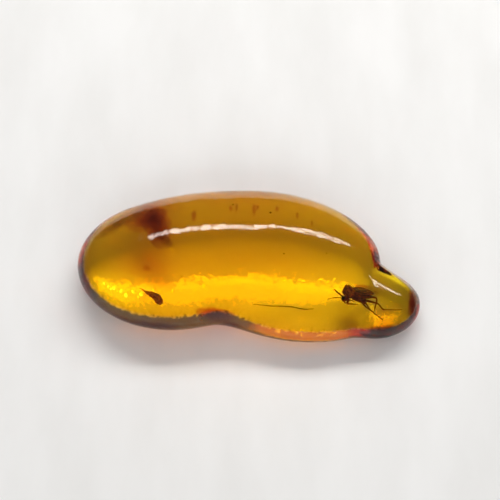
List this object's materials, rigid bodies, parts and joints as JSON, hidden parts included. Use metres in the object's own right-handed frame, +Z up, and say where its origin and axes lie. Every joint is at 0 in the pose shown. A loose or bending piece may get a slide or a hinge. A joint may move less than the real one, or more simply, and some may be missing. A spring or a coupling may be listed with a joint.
{
  "type": "insect in amber",
  "caption": "Polished free-form pebble of clear honey amber with a small gnat sealed inside, lying on a flat base.",
  "frame": {"origin": "on the base plane, under the middle of the pebble's box", "axes": "+X along the long axis, towards the small end drop; +Y towards the straight back edge; +Z up, away from the flat base"},
  "size_m": [0.0238, 0.0114, 0.0049],
  "materials": {
    "amber": "polished, clear honey amber, see-through, refractive index 1.54",
    "gnat": "dark brown insect cuticle sealed in the amber",
    "debris": "brown plant debris and stains sealed in the amber"
  },
  "bodies": {
    "root": {"amber_pebble": "amber"}
  },
  "joints": []
}
